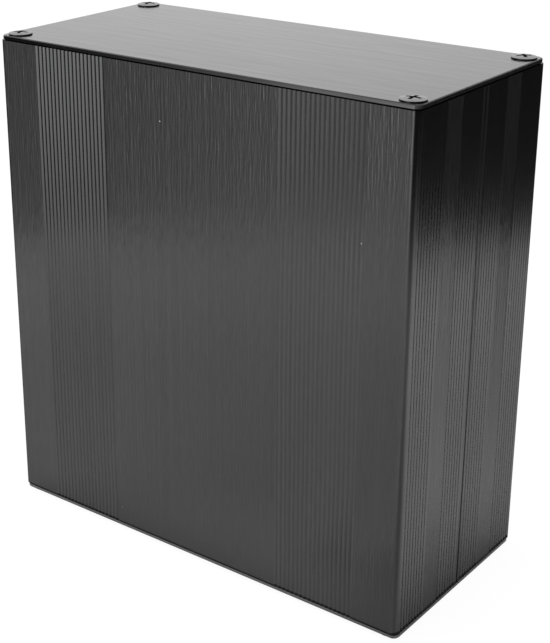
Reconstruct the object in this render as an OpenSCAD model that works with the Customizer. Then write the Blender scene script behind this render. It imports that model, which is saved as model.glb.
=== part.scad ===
// Split aluminium project box, standing on its end.
// Two half shells of one extruded profile interlock along the narrow sides.
// A flat panel closes each end, held by four screws that run into open channels in the profile's corners.

/* [Box] */
// Outer width, across a wide face
box_w = 145; // [130:1:200]
// Outer depth, across a narrow side
box_d = 68; // [64:1:110]
// Length of the extruded half shells
shell_len = 150; // [50:5:300]
// Wall of the extrusion
wall_t = 2; // [1.6:0.1:3]
// Radius of the four long outer corners
corner_r = 2; // [1:0.1:3]

/* [Ribbing] */
// Spacing of the fine grooves
groove_pitch = 1.5; // [1:0.1:1.8]
// Flat land left between two grooves
groove_land = 0.1; // [0.05:0.05:0.6]
// Depth of a groove
groove_depth = 0.2; // [0.1:0.05:0.5]
// Plain strip in the middle of a wide face
face_plain_w = 61; // [40:1:70]
// Grooves in each of the two bands of a wide face
face_grooves = 18; // [4:1:20]
// Plain strip on each shell beside the seam
seam_plain_w = 1.55; // [1:0.05:3]
// Grooves in the band beside the seam
seam_grooves = 7; // [2:1:8]
// Grooves in the band beside a long corner
corner_grooves = 8; // [2:1:9]

/* [Seam] */
// Thickness of the tongue that locates one shell in the other
tongue_t = 1.2; // [0.8:0.1:2]
// Height of the tongue past the seam
tongue_h = 2; // [1:0.1:3]
// Play round the tongue in its groove
tongue_play = 0.1; // [0.05:0.05:0.3]
// Inner lip of the groove that takes the tongue
seam_lip_t = 1.2; // [0.8:0.1:2]
// Metal left below that groove
seam_floor_t = 1.3; // [0.8:0.1:2]
// Half width of the V along the outer edge of the seam
seam_v_half_w = 0.35; // [0.2:0.05:0.8]
// Depth of that V
seam_v_depth = 0.7; // [0.3:0.05:1]

/* [Card guides] */
// Thickness of the circuit board that slides in
board_t = 1.6; // [0.8:0.1:2.4]
// Play of the board in its slot
board_play = 0.4; // [0.1:0.05:0.8]
// Thickness of a guide rib
guide_t = 1.2; // [0.8:0.1:2]
// Reach of a guide rib from the wall
guide_reach = 3; // [1.5:0.1:5]
// Distance of the slot nearer the seam
near_slot_y = 9; // [8:0.5:11]
// Distance of the slot further from the seam
far_slot_y = 18; // [16:0.5:20]

/* [Screws] */
// Distance of a screw from the two sides of its corner
screw_inset = 4.5; // [4:0.1:7]
// Thread diameter
screw_d = 3.5; // [2.5:0.1:4]
// Length under the head
screw_len = 10; // [6:1:20]
// Length of the pointed tip
tip_len = 1.5; // [0.5:0.1:3]
// Flat at the end of the tip
tip_d = 1.6; // [0.8:0.1:2.4]
// Diameter of the flat pan head
head_d = 7.2; // [5.5:0.1:8]
// Height of the head's straight rim
head_rim_h = 0.4; // [0.2:0.05:0.8]
// Rise of the dome above the rim
head_dome_h = 0.35; // [0.1:0.05:1]
// Flat on top of the dome
head_flat_d = 2.8; // [1:0.1:4]
// Span of the cross recess, level with the top of the head
recess_span = 4.4; // [3:0.1:5.2]
// Span of the cross recess at its floor
recess_floor_span = 2.6; // [1:0.1:3]
// Width of each arm of the recess
recess_w = 1.0; // [0.6:0.05:1.2]
// Depth of the recess
recess_depth = 1.1; // [0.6:0.1:2]

/* [Screw channels] */
// Play round the thread in its channel
thread_play = 0.05; // [0.05:0.05:0.2]
// Wall round the channel
channel_wall = 1.5; // [1:0.1:2.5]
// Opening along the channel, towards the inside
channel_mouth = 1.8; // [1:0.1:2.4]

/* [End panels] */
// Thickness of a panel
panel_t = 1.5; // [1:0.1:4]
// Step of a panel's edge inside the shells
panel_step = 0.25; // [0:0.05:1]
// Radius of a panel's corners
panel_corner_r = 2; // [1:0.1:4]
// Bevel round a panel's outer face
panel_bevel = 0.25; // [0.1:0.05:0.5]
// Bevel round a panel's inner face, which leaves a fine line against the shells
panel_inner_bevel = 0.4; // [0.1:0.05:0.6]
// Play of a screw in its panel hole
hole_play = 0.25; // [0.1:0.05:0.6]

/* [Hidden] */
$fn = 64;

// Cutters start this far outside the surface that they cut
cut_over = 0.1;

groove_w = groove_pitch - groove_land;
seam_wall_t = wall_t + tongue_t + 2 * tongue_play + seam_lip_t;
seam_wall_h = tongue_h + tongue_play + seam_floor_t;
slot_w = board_t + board_play;
channel_d = screw_d + 2 * thread_play;
channel_r = channel_d / 2 + channel_wall;
hole_d = screw_d + 2 * hole_play;
head_h = head_rim_h + head_dome_h;
screw_x = box_w / 2 - screw_inset;
screw_y = box_d / 2 - screw_inset;
panel_w = box_w - 2 * panel_step;
panel_d = box_d - 2 * panel_step;

// The box stands on the screw heads of its bottom panel
bottom_panel_z = head_h;
shell_z = bottom_panel_z + panel_t;
top_panel_z = shell_z + shell_len;
top_head_z = top_panel_z + panel_t;

// Angle at which each screw's recess came to rest, by corner
recess_turns = [25, 0, 40, 15];

anodised = [0.10, 0.10, 0.11];
panel_grey = [0.22, 0.22, 0.23];
screw_black = [0.16, 0.16, 0.17];

// One V groove, cut into the lower edge of a section
module groove_section() {
    flare = groove_w / 2 * (1 + cut_over / groove_depth);
    polygon([[-flare, -cut_over], [flare, -cut_over], [0, groove_depth]]);
}

// A row of grooves along X, starting at the origin
module groove_row(count) {
    for (i = [0 : count - 1])
        translate([groove_pitch * (i + 0.5), 0])
            groove_section();
}

// Outer outline of one half, from the seam at y = 0 down to the wide face
module half_outline() {
    translate([-box_w / 2 + corner_r, -box_d / 2])
        square([box_w - 2 * corner_r, box_d / 2]);
    translate([-box_w / 2, -box_d / 2 + corner_r])
        square([box_w, box_d / 2 - corner_r]);
    for (side = [-1, 1])
        translate([side * (box_w / 2 - corner_r), -box_d / 2 + corner_r])
            circle(r = corner_r);
}

module half_hollow() {
    translate([-box_w / 2 + wall_t, -box_d / 2 + wall_t])
        square([box_w - 2 * wall_t, box_d / 2]);
}

// Solid part of a screw channel, filled out to the walls of its corner
module channel_solid() {
    translate([screw_x, -screw_y])
        circle(r = channel_r);
    translate([screw_x, -box_d / 2 + wall_t / 2])
        square([screw_inset - wall_t / 2, channel_r + screw_inset - wall_t / 2]);
    translate([screw_x - channel_r, -box_d / 2 + wall_t / 2])
        square([channel_r + screw_inset - wall_t / 2, screw_inset - wall_t / 2]);
}

// Bore of a screw channel, with its mouth along the diagonal towards the inside
module channel_hollow() {
    translate([screw_x, -screw_y]) {
        circle(d = channel_d);
        rotate(135)
            translate([0, -channel_mouth / 2])
                square([2 * channel_r, channel_mouth]);
    }
}

// Pair of guide ribs on the wall at +X, with a slot for the edge of a board between them
module card_slot(y) {
    for (rib_y = [y - slot_w / 2 - guide_t, y + slot_w / 2])
        translate([box_w / 2 - wall_t - guide_reach, rib_y])
            square([wall_t / 2 + guide_reach, guide_t]);
}

// Thick edge along the seam at +X
module seam_wall() {
    translate([box_w / 2 - seam_wall_t, -seam_wall_h])
        square([seam_wall_t - wall_t / 2, seam_wall_h]);
}

module tongue() {
    translate([box_w / 2 - wall_t - tongue_play - tongue_t, -seam_wall_h / 2])
        square([tongue_t, seam_wall_h / 2 + tongue_h]);
}

// Groove for the other shell's tongue, at -X
module tongue_groove() {
    translate([-box_w / 2 + wall_t, -tongue_h - tongue_play])
        square([tongue_t + 2 * tongue_play, tongue_h + tongue_play + cut_over]);
}

// Grooves and this shell's half of the seam V, on the narrow side at +X
module side_cuts() {
    flare = seam_v_half_w * (1 + cut_over / seam_v_depth);
    translate([box_w / 2, 0])
        rotate(90)
            translate([-box_d / 2 + corner_r, 0])
                groove_row(corner_grooves);
    translate([box_w / 2, -seam_plain_w])
        rotate(90)
            translate([-seam_grooves * groove_pitch, 0])
                groove_row(seam_grooves);
    translate([box_w / 2, 0])
        polygon([
            [-seam_v_depth, 0], [cut_over, -flare],
            [cut_over, cut_over], [-seam_v_depth, cut_over]
        ]);
}

// Grooves in the half of the wide face at +X
module face_cuts() {
    translate([face_plain_w / 2, -box_d / 2])
        groove_row(face_grooves);
}

// Section of one half shell: tongue at +X, groove at -X
module shell_section() {
    difference() {
        union() {
            difference() {
                half_outline();
                half_hollow();
            }
            for (flip = [0, 1])
                mirror([flip, 0]) {
                    channel_solid();
                    card_slot(-near_slot_y);
                    card_slot(-far_slot_y);
                    seam_wall();
                }
            tongue();
        }
        for (flip = [0, 1])
            mirror([flip, 0]) {
                channel_hollow();
                side_cuts();
                face_cuts();
            }
        tongue_groove();
    }
}

module half_shell() {
    linear_extrude(shell_len)
        shell_section();
}

module front_shell() {
    color(anodised)
        translate([0, 0, shell_z])
            half_shell();
}

module rear_shell() {
    color(anodised)
        translate([0, 0, shell_z])
            rotate(180)
                half_shell();
}

// Places its child at each corner's screw axis
module at_screws() {
    for (corner = [[-1, -1, 0], [1, -1, 1], [1, 1, 2], [-1, 1, 3]])
        translate([corner.x * screw_x, corner.y * screw_y, 0])
            rotate(recess_turns[corner.z])
                children();
}

// Half section of a panel, from its middle to its beveled edge at x = reach
module panel_edge_section(reach) {
    polygon([
        [0, 0], [reach - panel_inner_bevel, 0], [reach, panel_inner_bevel],
        [reach, panel_t - panel_bevel], [reach - panel_bevel, panel_t], [0, panel_t]
    ]);
}

// Panel with its outer face up, on z = 0
module panel() {
    core_w = panel_w - 2 * panel_corner_r;
    core_d = panel_d - 2 * panel_corner_r;
    difference() {
        union() {
            for (flip = [0, 1])
                mirror([flip, 0, 0])
                    translate([0, core_d / 2, 0])
                        rotate([90, 0, 0])
                            linear_extrude(core_d)
                                panel_edge_section(panel_w / 2);
            for (flip = [0, 1])
                mirror([0, flip, 0])
                    translate([-core_w / 2, 0, 0])
                        rotate([90, 0, 90])
                            linear_extrude(core_w)
                                panel_edge_section(panel_d / 2);
            for (x = [-1, 1], y = [-1, 1])
                translate([x * core_w / 2, y * core_d / 2, 0])
                    rotate_extrude()
                        panel_edge_section(panel_corner_r);
        }
        at_screws()
            translate([0, 0, -cut_over])
                cylinder(d = hole_d, h = panel_t + 2 * cut_over);
    }
}

module bottom_panel() {
    color(panel_grey)
        translate([0, 0, shell_z])
            rotate([180, 0, 0])
                panel();
}

module top_panel() {
    color(panel_grey)
        translate([0, 0, top_panel_z])
            panel();
}

// Half section of a flat pan-head screw, with the underside of its head on y = 0
module screw_section() {
    // Centre and radius of the dome that meets both the rim and the flat
    dome_y = (pow(head_flat_d / 2, 2) + pow(head_h, 2) - pow(head_d / 2, 2) - pow(head_rim_h, 2))
        / (2 * head_dome_h);
    dome_r = sqrt(pow(head_d / 2, 2) + pow(head_rim_h - dome_y, 2));
    intersection() {
        square([head_d / 2, head_h]);
        translate([0, dome_y])
            circle(r = dome_r);
    }
    polygon([
        [0, -screw_len], [tip_d / 2, -screw_len], [screw_d / 2, tip_len - screw_len],
        [screw_d / 2, 0], [screw_d / 2, head_h / 2], [0, head_h / 2]
    ]);
}

module cross_recess() {
    for (turn = [0, 90])
        rotate([90, 0, turn])
            translate([0, head_h, -recess_w / 2])
                linear_extrude(recess_w)
                    polygon([
                        [-recess_floor_span / 2, -recess_depth], [recess_floor_span / 2, -recess_depth],
                        [recess_span / 2, 0], [recess_span / 2, cut_over],
                        [-recess_span / 2, cut_over], [-recess_span / 2, 0]
                    ]);
}

// Screw pointing down, with the underside of its head on z = 0
module screw() {
    difference() {
        rotate_extrude()
            screw_section();
        cross_recess();
    }
}

module bottom_panel_screws() {
    color(screw_black)
        translate([0, 0, bottom_panel_z])
            rotate([180, 0, 0])
                at_screws()
                    screw();
}

module top_panel_screws() {
    color(screw_black)
        translate([0, 0, top_head_z])
            at_screws()
                screw();
}

front_shell();
rear_shell();
bottom_panel();
top_panel();
bottom_panel_screws();
top_panel_screws();
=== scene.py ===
import math
from collections import namedtuple

import bmesh
import bpy
from mathutils import Matrix, Vector


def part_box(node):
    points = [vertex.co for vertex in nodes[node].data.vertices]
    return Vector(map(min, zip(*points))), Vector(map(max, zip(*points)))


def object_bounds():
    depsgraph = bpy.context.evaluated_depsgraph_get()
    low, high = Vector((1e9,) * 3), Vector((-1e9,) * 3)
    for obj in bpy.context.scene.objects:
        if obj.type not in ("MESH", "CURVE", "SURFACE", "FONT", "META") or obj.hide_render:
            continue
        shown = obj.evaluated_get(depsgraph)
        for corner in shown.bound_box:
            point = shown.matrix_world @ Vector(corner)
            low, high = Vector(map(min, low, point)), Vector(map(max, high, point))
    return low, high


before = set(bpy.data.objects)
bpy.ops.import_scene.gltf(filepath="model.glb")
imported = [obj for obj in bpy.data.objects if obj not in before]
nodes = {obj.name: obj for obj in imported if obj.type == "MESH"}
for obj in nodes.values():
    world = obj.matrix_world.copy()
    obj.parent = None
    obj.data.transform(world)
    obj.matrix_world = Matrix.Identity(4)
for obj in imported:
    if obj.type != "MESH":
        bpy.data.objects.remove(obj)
cad_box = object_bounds()


# Half shells: two lengths of one aluminium extrusion, brushed along their length and anodised black.
# They lock together by a tongue and groove down the middle of each narrow side. The plain strips show the
# brushing. Painted highlights lighten the crests of the ribs towards both ends, and painted shade darkens
# their grooves, the foot and the seams.
def feed(tree, socket, given):
    """Link another node's output to an input, or set the input to a plain value."""
    if isinstance(given, bpy.types.NodeSocket):
        tree.links.new(given, socket)
    else:
        socket.default_value = given


def reckon(tree, operation, *terms, kind="ShaderNodeMath"):
    """What one operation makes of its terms: a value, or a vector if the kind of node is one for vectors."""
    node = tree.nodes.new(kind)
    node.operation = operation
    for socket, term in zip(node.inputs, terms):
        feed(tree, socket, term)
    return node.outputs[0]


def reckon_vector(tree, operation, *terms):
    return reckon(tree, operation, *terms, kind="ShaderNodeVectorMath")


def noise(tree, vector, scale, detail):
    node = tree.nodes.new("ShaderNodeTexNoise")
    node.inputs["Scale"].default_value = scale
    node.inputs["Detail"].default_value = detail
    feed(tree, node.inputs["Vector"], vector)
    return node.outputs["Fac"]


def mix(tree, share, first, second, kind="FLOAT", way="MIX"):
    """The first at a share of 0 and the second at 1: values, or colours if the kind is RGBA."""
    node = tree.nodes.new("ShaderNodeMix")
    node.data_type = kind
    node.blend_type = way
    for name, given in (("Factor", share), ("A", first), ("B", second)):
        feed(tree, node.inputs[name], given)
    return node.outputs["Result"]


def brushed_grain_group():
    """Brushing along Z of the vector: short fine lines, with wider and longer marks among them."""
    mark_density = (0.7, 0.7, 0.03)
    mark_share = 0.35
    group = bpy.data.node_groups.new("brushed_grain", "ShaderNodeTree")
    group.interface.new_socket("Vector", in_out="INPUT", socket_type="NodeSocketVector")
    group.interface.new_socket("Across", in_out="INPUT", socket_type="NodeSocketFloat")
    group.interface.new_socket("Along", in_out="INPUT", socket_type="NodeSocketFloat")
    group.interface.new_socket("Lines", in_out="OUTPUT", socket_type="NodeSocketFloat")
    given = group.nodes.new("NodeGroupInput").outputs
    made = group.nodes.new("NodeGroupOutput").inputs
    density = group.nodes.new("ShaderNodeCombineXYZ")
    for axis, lines in (("X", "Across"), ("Y", "Across"), ("Z", "Along")):
        feed(group, density.inputs[axis], given[lines])
    drawn = reckon_vector(group, "MULTIPLY", given["Vector"], density.outputs["Vector"])
    short_lines = noise(group, drawn, scale=1.0, detail=1.0)
    long_marks = noise(group, reckon_vector(group, "MULTIPLY", drawn, mark_density), scale=1.0, detail=0.0)
    feed(group, made["Lines"], mix(group, mark_share, short_lines, long_marks))
    return group


def fade(tree, value, start, end, low=0.0, high=1.0):
    """Goes from low to high while the value goes from start to end, and is level beyond them."""
    node = tree.nodes.new("ShaderNodeMapRange")
    limits = {"Value": value, "From Min": start, "From Max": end, "To Min": low, "To Max": high}
    for name, given in limits.items():
        feed(tree, node.inputs[name], given)
    return node.outputs["Result"]


def dust_group():
    """Sparse specks of dust, about half a millimetre across: 1 in a speck and 0 elsewhere."""
    cells_per_metre = 70.0
    speck_rim, speck_core = 0.019, 0.010
    group = bpy.data.node_groups.new("dust_specks", "ShaderNodeTree")
    group.interface.new_socket("Vector", in_out="INPUT", socket_type="NodeSocketVector")
    group.interface.new_socket("Specks", in_out="OUTPUT", socket_type="NodeSocketFloat")
    given = group.nodes.new("NodeGroupInput").outputs
    made = group.nodes.new("NodeGroupOutput").inputs
    cells = group.nodes.new("ShaderNodeTexVoronoi")
    cells.inputs["Scale"].default_value = cells_per_metre
    feed(group, cells.inputs["Vector"], given["Vector"])
    feed(group, made["Specks"], fade(group, cells.outputs["Distance"], speck_rim, speck_core))
    return group


brushed_grain = brushed_grain_group()
dust_specks = dust_group()
Finish = namedtuple("Finish", ("material", "tree", "shader", "place", "lines", "colour", "bump"))


def anodised(name, turn, across, along, contrast, relief):
    """Brushed black anodised aluminium with a little dust on it.

    The turn swings the brushing from Z to another axis, across and along are its lines per metre,
    contrast is how much they differ in colour, and relief is their height in metres.
    """
    mean_level = 0.088
    blue_cast = 1.01
    dust_colour = (0.35, 0.35, 0.34, 1.0)
    bare_roughness, dust_roughness = 0.2, 0.8
    material = bpy.data.materials.new(name)
    material.use_nodes = True
    tree = material.node_tree
    shader = tree.nodes["Principled BSDF"].inputs
    place = tree.nodes.new("ShaderNodeTexCoord").outputs["Object"]
    turned = tree.nodes.new("ShaderNodeMapping")
    turned.inputs["Rotation"].default_value = turn
    feed(tree, turned.inputs["Vector"], place)
    grain = tree.nodes.new("ShaderNodeGroup")
    grain.node_tree = brushed_grain
    grain.inputs["Across"].default_value = across
    grain.inputs["Along"].default_value = along
    feed(tree, grain.inputs["Vector"], turned.outputs["Vector"])
    lines = grain.outputs["Lines"]
    dust = tree.nodes.new("ShaderNodeGroup")
    dust.node_tree = dust_specks
    feed(tree, dust.inputs["Vector"], place)
    specks = dust.outputs["Specks"]
    dark, light = mean_level * (1 - contrast), mean_level * (1 + contrast)
    dark_colour = (dark, dark, dark * blue_cast, 1.0)
    light_colour = (light, light, light * blue_cast, 1.0)
    brushed = mix(tree, lines, dark_colour, light_colour, "RGBA")
    colour = mix(tree, specks, brushed, dust_colour, "RGBA")
    feed(tree, shader["Base Color"], colour)
    feed(tree, shader["Metallic"], reckon(tree, "SUBTRACT", 1.0, specks))
    feed(tree, shader["Roughness"], fade(tree, specks, 0.0, 1.0, bare_roughness, dust_roughness))
    bump = tree.nodes.new("ShaderNodeBump")
    bump.inputs["Strength"].default_value = 1.0
    bump.inputs["Distance"].default_value = relief
    feed(tree, bump.inputs["Height"], lines)
    feed(tree, shader["Normal"], bump.outputs["Normal"])
    return Finish(material, tree, shader, place, lines, colour, bump)


def grey(level):
    return (level, level, level, 1.0)


def split(tree, vector):
    """Outputs X, Y and Z of a vector."""
    node = tree.nodes.new("ShaderNodeSeparateXYZ")
    feed(tree, node.inputs["Vector"], vector)
    return node.outputs


shell = anodised(
    "shell_anodised", turn=(0.0, 0.0, 0.0), across=1800.0, along=170.0, contrast=0.18, relief=0.00019
)
glancing_tint = grey(0.6)
shell.shader["Specular Tint"].default_value = glancing_tint
shell_normal = shell.tree.nodes.new("ShaderNodeNewGeometry").outputs["True Normal"]
shell_facing = split(shell.tree, reckon_vector(shell.tree, "ABSOLUTE", shell_normal))
shell_spot = split(shell.tree, shell.place)
shell_lowest, shell_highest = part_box("front_shell")

# The plain strips face straight along X or Y, and the flanks of the grooves don't.
ribbed_squareness, plain_squareness = 0.98, 0.999
squareness = reckon(shell.tree, "MAXIMUM", shell_facing["X"], shell_facing["Y"])
plain_strips = fade(shell.tree, squareness, ribbed_squareness, plain_squareness)
feed(shell.tree, shell.bump.inputs["Height"], reckon(shell.tree, "MULTIPLY", shell.lines, plain_strips))

# Painted shade along the foot, where the shells meet the lower panel, stands higher on the narrow sides.
foot_shade_top, foot_shade_fade = shell_lowest.z + 0.00015, 0.0004
foot_shade_tone = 0.2
side_shade_rise = 0.0008
foot_height = reckon(shell.tree, "MULTIPLY_ADD", shell_facing["X"], -side_shade_rise, shell_spot["Z"])
foot_painted_shade = fade(shell.tree, foot_height, foot_shade_top, foot_shade_top + foot_shade_fade, foot_shade_tone)

# Painted shade in the seams thickens towards the foot.
seam_shade_rim, seam_shade_core = 0.0006, 0.00035
seam_shade_top, seam_shade_full = 0.09, 0.01
seam_shade_share = 0.7
seam_distance = reckon(shell.tree, "ABSOLUTE", shell_spot["Y"])
seam_line = fade(shell.tree, seam_distance, seam_shade_rim, seam_shade_core)
seam_foot = fade(shell.tree, shell_spot["Z"], seam_shade_top, seam_shade_full, high=seam_shade_share)
seam_shade = reckon(shell.tree, "MULTIPLY", seam_line, seam_foot)
seam_painted_shade = reckon(shell.tree, "SUBTRACT", 1.0, seam_shade)

# Painted highlights on the crests of the ribs and painted shade in their grooves follow the depth below the
# outer faces, and there are none at one height near the middle.
groove_depth = 0.0002
crest_highlight_tone, groove_shade_tone = 1.18, 0.86
unpainted_rib_height, rib_light_distance = 0.085, 0.045
shell_half = (shell_highest.x, -shell_lowest.y, 0.0)
shell_outward = reckon_vector(shell.tree, "ABSOLUTE", shell.place)
shell_inward = split(shell.tree, reckon_vector(shell.tree, "SUBTRACT", shell_half, shell_outward))
rib_depth = reckon(shell.tree, "MINIMUM", shell_inward["X"], shell_inward["Y"])
rib_highlight_and_shade = fade(shell.tree, rib_depth, 0.0, groove_depth, crest_highlight_tone, groove_shade_tone)
rib_painted_tone = mix(shell.tree, plain_strips, rib_highlight_and_shade, 1.0)
above_unworn = reckon(shell.tree, "SUBTRACT", shell_spot["Z"], unpainted_rib_height)
from_unworn = reckon(shell.tree, "ABSOLUTE", above_unworn)
rib_painted_light = mix(shell.tree, fade(shell.tree, from_unworn, 0.0, rib_light_distance), 1.0, rib_painted_tone)

# The painted highlights and painted shade of the ribs, seams and foot multiply the brushed colour.
rib_and_seam_tone = reckon(shell.tree, "MULTIPLY", rib_painted_light, seam_painted_shade)
shell_painted_light = reckon(shell.tree, "MULTIPLY", foot_painted_shade, rib_and_seam_tone)
shell_colour = mix(shell.tree, 1.0, shell.colour, shell_painted_light, "RGBA", "MULTIPLY")
feed(shell.tree, shell.shader["Base Color"], shell_colour)
for name in ("front_shell", "rear_shell"):
    nodes[name].data.materials[0] = shell.material


# End panels: blank plates of anodised sheet, brushed from side to side, one screwed to each end of the box.
# The punch that cut them out rolled their edges over a little, towards the top. The edge of the lower panel
# is painted lighter, a painted reflection of the bright table beside it.
panel_turn = (0.0, math.radians(90), 0.0)
panel = anodised(
    "panel_anodised", turn=panel_turn, across=800.0, along=40.0, contrast=0.75, relief=0.00002
)
panel_grain_axis = panel.tree.nodes.new("ShaderNodeTangent")
panel_grain_axis.direction_type = "RADIAL"
panel_grain_axis.axis = "X"
panel.shader["Anisotropic"].default_value = 0.5
feed(panel.tree, panel.shader["Tangent"], panel_grain_axis.outputs["Tangent"])
panel_height = split(panel.tree, panel.place)["Z"]
top_panel_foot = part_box("top_panel")[0].z
bottom_panel_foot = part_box("bottom_panel")[0].z

# The roll leans the faces upwards, more at the rim of the top panel than on the edges.
roll_start, roll_end = top_panel_foot + 0.00015, top_panel_foot + 0.00095
edge_lean, rim_lean = 0.16, 0.34
panel_roll = fade(panel.tree, panel_height, roll_start, roll_end, edge_lean, rim_lean)
panel_lean = panel.tree.nodes.new("ShaderNodeCombineXYZ")
feed(panel.tree, panel_lean.inputs["Z"], panel_roll)
panel_normal = panel.tree.nodes.new("ShaderNodeNewGeometry").outputs["Normal"]
panel_leaning = reckon_vector(panel.tree, "ADD", panel_normal, panel_lean.outputs["Vector"])
feed(panel.tree, panel.bump.inputs["Normal"], reckon_vector(panel.tree, "NORMALIZE", panel_leaning))

# The painted reflection on the edge of the lower panel fades out on the bevel round its outer face.
reflection_start, reflection_end = bottom_panel_foot + 0.00015, bottom_panel_foot + 0.00045
painted_reflection_colour = grey(0.17)
box_middle = (cad_box[0][2] + cad_box[1][2]) / 2
edge_reflection = fade(panel.tree, panel_height, reflection_start, reflection_end)
lower_panel = reckon(panel.tree, "LESS_THAN", panel_height, box_middle)
lower_edge_reflection = reckon(panel.tree, "MULTIPLY", edge_reflection, lower_panel)
panel_colour = mix(panel.tree, lower_edge_reflection, panel.colour, painted_reflection_colour, "RGBA")
feed(panel.tree, panel.shader["Base Color"], panel_colour)
for name in ("top_panel", "bottom_panel"):
    nodes[name].data.materials[0] = panel.material


# Panel screws: low pan heads of black plated steel with a cross recess, four to a panel.
# The plating is thin and a little uneven. The sides of the heads and the walls of the recesses are painted
# near black as painted shade.
cloud_density = 900.0
thick_colour = (0.08, 0.08, 0.081, 1.0)
thin_colour = (0.2, 0.2, 0.202, 1.0)
rim_shade_colour = grey(0.035)
rim_flatness, head_flatness = 0.6, 0.95
smooth_plating, rough_plating = 0.18, 0.34
screw_finish = bpy.data.materials.new("screw_black")
screw_finish.use_nodes = True
screw_tree = screw_finish.node_tree
screw_shader = screw_tree.nodes["Principled BSDF"].inputs
screw_shader["Metallic"].default_value = 1.0
screw_place = screw_tree.nodes.new("ShaderNodeTexCoord").outputs["Object"]
screw_cloud = noise(screw_tree, screw_place, cloud_density, detail=3.0)
head_colour = mix(screw_tree, screw_cloud, thick_colour, thin_colour, "RGBA")
screw_normal = screw_tree.nodes.new("ShaderNodeNewGeometry").outputs["True Normal"]
screw_flatness = reckon(screw_tree, "ABSOLUTE", split(screw_tree, screw_normal)["Z"])
head_top = fade(screw_tree, screw_flatness, rim_flatness, head_flatness)
# Painted shade: the sides of the heads and the walls of the recesses take the rim colour.
feed(screw_tree, screw_shader["Base Color"], mix(screw_tree, head_top, rim_shade_colour, head_colour, "RGBA"))
screw_gloss = fade(screw_tree, screw_cloud, 0.0, 1.0, smooth_plating, rough_plating)
feed(screw_tree, screw_shader["Roughness"], screw_gloss)
for name in ("top_panel_screws", "bottom_panel_screws"):
    nodes[name].data.materials[0] = screw_finish


# Table: the camera sees a wide pale floor, and the finish mirrors a roughly round sheet of white paper on it.
# The paper's grey is painted light and shade: bright to the sides, dim towards the camera and dimmest behind
# the box.
def table_sheet(name, height, create, **size):
    """Flat sheet at that height, which isn't part of the object."""
    mesh = bpy.data.meshes.new(name)
    shape = bmesh.new()
    create(shape, **size)
    bmesh.ops.translate(shape, vec=(0.0, 0.0, height), verts=shape.verts)
    shape.to_mesh(mesh)
    shape.free()
    sheet = bpy.data.objects.new(name, mesh)
    bpy.context.scene.collection.objects.link(sheet)
    return sheet


floor = table_sheet("floor", -0.0002, bmesh.ops.create_grid, x_segments=1, y_segments=1, size=6.0)
floor.visible_glossy = False
floor_colour = grey(0.9)
floor_own_light = 0.95
floor_paint = bpy.data.materials.new("floor_white")
floor_paint.use_nodes = True
floor_tree = floor_paint.node_tree
floor_tree.nodes.clear()
floor_out = floor_tree.nodes.new("ShaderNodeOutputMaterial")
floor_seen = floor_tree.nodes.new("ShaderNodeMixShader")
floor_lit = floor_tree.nodes.new("ShaderNodeBsdfDiffuse")
floor_lit.inputs["Color"].default_value = floor_colour
floor_white = floor_tree.nodes.new("ShaderNodeEmission")
floor_path = floor_tree.nodes.new("ShaderNodeLightPath")
floor_share = reckon(floor_tree, "MULTIPLY", floor_path.outputs["Is Camera Ray"], floor_own_light)
feed(floor_tree, floor_seen.inputs["Fac"], floor_share)
feed(floor_tree, floor_seen.inputs[1], floor_lit.outputs["BSDF"])
feed(floor_tree, floor_seen.inputs[2], floor_white.outputs["Emission"])
feed(floor_tree, floor_out.inputs["Surface"], floor_seen.outputs["Shader"])
floor.data.materials.append(floor_paint)


def azimuth(tree, vector):
    """Angle of a vector about Z, from +X towards +Y, as 0 to 1 for a whole turn."""
    back = split(tree, reckon_vector(tree, "MULTIPLY", vector, (-1.0, -1.0, -1.0)))
    angle = reckon(tree, "ARCTAN2", back["Y"], back["X"])
    return fade(tree, angle, -math.pi, math.pi)


def ramp(tree, value, stops, span=1, top=1):
    """Grey level for a value from 0 to 1. Each stop is a place out of span and a level out of top."""
    node = tree.nodes.new("ShaderNodeValToRGB")
    levels = node.color_ramp.elements
    while len(levels) < len(stops):
        levels.new(0.5)
    for level, (place, height) in zip(levels, stops):
        level.position = place / span
        level.color = grey(height / top)
    feed(tree, node.inputs["Fac"], value)
    return node.outputs["Color"]


paper = table_sheet("paper", -0.0001, bmesh.ops.create_circle, cap_ends=True, segments=96, radius=0.5)
paper.visible_camera = False
paper.visible_diffuse = False
paper.visible_shadow = False
paper_white = bpy.data.materials.new("paper_white")
paper_white.use_nodes = True
paper_tree = paper_white.node_tree
paper_shader = paper_tree.nodes["Principled BSDF"].inputs
paper_shader["Roughness"].default_value = 1.0
paper_shader["Specular IOR Level"].default_value = 0.0
paper_place = paper_tree.nodes.new("ShaderNodeTexCoord").outputs["Object"]
paper_turn = azimuth(paper_tree, paper_place)
paper_length = paper_tree.nodes.new("ShaderNodeVectorMath")
paper_length.operation = "LENGTH"
feed(paper_tree, paper_length.inputs[0], paper_place)
paper_far = paper_length.outputs["Value"]
full_turn = 360

# The paper's grey is painted light and shade: it goes by azimuth, except under the box, and by distance,
# darker nearer the box.
paper_painted_light = ramp(
    paper_tree,
    paper_turn,
    (
        (0, 0.9), (22, 0.92), (40, 0.82), (50, 0.71), (58, 0.47), (64, 0.2), (72, 0.1), (95, 0.1),
        (120, 0.3), (180, 0.46), (200, 0.53), (218, 0.67), (229, 0.59), (246, 0.56), (267, 0.5), (283, 0.5),
        (298, 0.53), (307, 0.36), (318, 0.35), (328, 0.38), (333, 0.41), (338, 0.62), (348, 0.83), (360, 0.9),
    ),
    span=full_turn,
)
paper_distance_shade = ramp(
    paper_tree, paper_far, ((0.05, 0.93), (0.1, 0.86), (0.18, 0.82), (0.3, 1.03), (0.4, 1.08)), top=1.08
)
even_rim, even_core = 0.085, 0.06
even_level = 0.58
paper_even = mix(paper_tree, fade(paper_tree, paper_far, even_rim, even_core), paper_painted_light, even_level)
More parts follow.
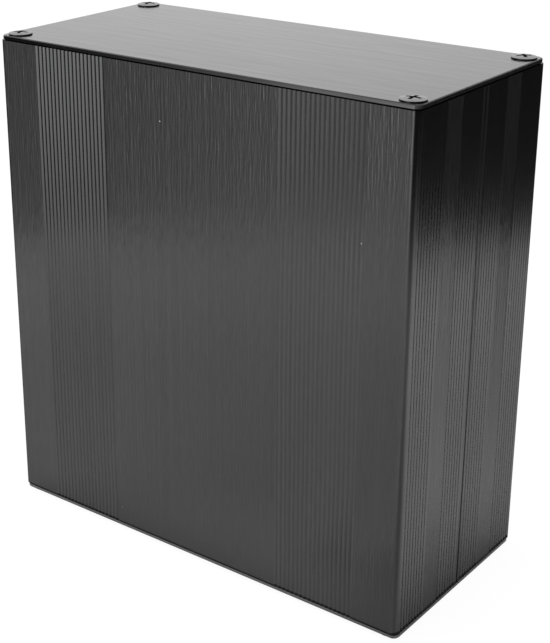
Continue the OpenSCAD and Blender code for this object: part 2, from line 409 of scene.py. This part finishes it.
paper_light_and_shade = reckon(paper_tree, "MULTIPLY", paper_even, paper_distance_shade)
feed(paper_tree, paper_shader["Base Color"], paper_light_and_shade)

# The paper's edge is uneven: its distance from the middle, in metres, goes by azimuth too.
paper_reach = ramp(
    paper_tree,
    paper_turn,
    (
        (0, 0.41), (11, 0.385), (17, 0.37), (21, 0.372), (26, 0.38), (30, 0.378), (50, 0.36), (75, 0.35),
        (95, 0.35), (200, 0.335), (245, 0.335), (270, 0.34), (300, 0.38), (320, 0.41), (343, 0.436),
        (354, 0.425), (360, 0.41),
    ),
    span=full_turn,
)
paper_edge_blur = 0.01
paper_inside = reckon(paper_tree, "SUBTRACT", paper_reach, paper_far)
feed(paper_tree, paper_shader["Alpha"], fade(paper_tree, paper_inside, -paper_edge_blur, paper_edge_blur))
paper.data.materials.append(paper_white)


# Room: a pale backdrop stands behind the table, and the rest is dim, with a bright patch in front.
# From above, an upright face mirrors only what lies below the horizon, so that is laid out by azimuth too.
# A window overhead lights the table and isn't mirrored.
room_top, room_strength = 4, 3.2
diffuse_strength, backdrop_strength = 1.04, 1.0
room = bpy.data.worlds.new("room")
bpy.context.scene.world = room
room.use_nodes = True
room_tree = room.node_tree
room_tree.nodes.clear()
room_out = room_tree.nodes.new("ShaderNodeOutputWorld")
room_light = room_tree.nodes.new("ShaderNodeBackground")
room_light.inputs["Color"].default_value = grey(1.0)
feed(room_tree, room_out.inputs["Surface"], room_light.outputs["Background"])
room_way = room_tree.nodes.new("ShaderNodeTexCoord").outputs["Generated"]
room_turn = azimuth(room_tree, room_way)
room_up = split(room_tree, room_way)["Z"]

below = ramp(
    room_tree,
    room_turn,
    (
        (0, 0.015), (10, 0.02), (20, 0.03), (32, 0.045), (45, 0.1), (55, 0.17), (66, 0.18), (74, 0.05),
        (92, 0.02), (100, 0.05), (115, 0.2), (180, 0.08), (192, 0.05), (198, 0.28), (203, 0.78), (210, 0.62),
        (216, 0.48), (223, 0.54), (231, 0.77), (240, 0.94), (246, 0.94), (262, 0.62), (270, 0.6), (277, 0.2),
        (285, 0.04), (300, 0.02), (340, 0.015), (360, 0.015),
    ),
    span=full_turn,
    top=room_top,
)
patch = ramp(
    room_tree,
    room_turn,
    (
        (0, 0.0), (249, 0.0), (254, 2.2), (260, 2.2), (265, 1.0), (270, 0.75), (276, 0.2), (282, 0.0),
        (360, 0.0),
    ),
    span=full_turn,
    top=room_top,
)
patch_foot, patch_head = -0.31, -0.19
patch_foot_share = 0.25
patch_height = fade(room_tree, room_up, patch_foot, patch_head, patch_foot_share)
lower_room = reckon(room_tree, "MULTIPLY_ADD", patch, patch_height, below)

above = ramp(
    room_tree,
    room_turn,
    (
        (0, 0.3), (45, 0.2), (58, 0.08), (75, 0.02), (84, 0.05), (95, 1.0), (112, 1.4), (126, 1.5),
        (136, 1.42), (180, 1.5), (200, 0.0), (227, 0.0), (231, 0.35), (236, 1.5), (240.3, 2.7), (262, 2.6),
        (280, 1.0), (300, 0.6), (360, 0.3),
    ),
    span=full_turn,
    top=room_top,
)
wall_height = ramp(room_tree, room_up, ((0, 1.0), (0.6, 1.0), (0.8, 0.3), (1.0, 0.3)))
ceiling = ramp(
    room_tree, room_up, ((0, 0.0), (0.37, 0.0), (0.45, 0.55), (0.6, 0.65), (1.0, 0.65)), top=room_top
)
upper_room = reckon(room_tree, "MULTIPLY_ADD", above, wall_height, ceiling)

over_horizon = reckon(room_tree, "GREATER_THAN", room_up, 0.0)
mirrored_level = mix(room_tree, over_horizon, lower_room, upper_room)
mirrored_strength = reckon(room_tree, "MULTIPLY", mirrored_level, room_strength)
room_path = room_tree.nodes.new("ShaderNodeLightPath").outputs
unseen_strength = mix(room_tree, room_path["Is Glossy Ray"], diffuse_strength, mirrored_strength)
shown_strength = mix(room_tree, room_path["Is Camera Ray"], unseen_strength, backdrop_strength)
feed(room_tree, room_light.inputs["Strength"], shown_strength)

window_target = Vector((0.0, 0.0, 0.05))
window = bpy.data.lights.new("window", "AREA")
window.shape = "SQUARE"
window.size = 0.25
window.energy = 10.4
window_light = bpy.data.objects.new("window", window)
window_light.location = (-0.03, -0.06, 1.05)
window_aim = window_target - window_light.location
window_light.rotation_euler = window_aim.to_track_quat("-Z", "Y").to_euler()
window_light.visible_camera = False
window_light.visible_glossy = False
bpy.context.scene.collection.objects.link(window_light)


# Camera: above the corner between the wide face and a narrow side, about 0.44 m from the middle of the box.
# Its place, angles and focal length are a fit to the edges of the box, in pixels of a frame of 550 by 643.
image_w, image_h = 550, 643
focal_px = 1438.0
centre_px = (210.0, 268.4)
camera_place = (0.2428, -0.3304, 0.23995)
camera_turn, camera_tilt, camera_roll = math.radians(38.45), math.radians(20.68), math.radians(-0.45)
lens = bpy.data.cameras.new("camera")
lens.sensor_width = 36.0
lens.lens = focal_px / max(image_w, image_h) * lens.sensor_width
lens.shift_x = (image_w / 2 - centre_px[0]) / max(image_w, image_h)
lens.shift_y = (centre_px[1] - image_h / 2) / max(image_w, image_h)
lens.clip_start = 0.01
camera = bpy.data.objects.new("camera", lens)
aim = (
    Matrix.Rotation(camera_turn, 4, "Z")
    @ Matrix.Rotation(math.radians(90) - camera_tilt, 4, "X")
    @ Matrix.Rotation(camera_roll, 4, "Z")
)
camera.matrix_world = Matrix.Translation(camera_place) @ aim
bpy.context.scene.collection.objects.link(camera)
bpy.context.scene.camera = camera
bpy.context.scene.view_settings.view_transform = "Standard"
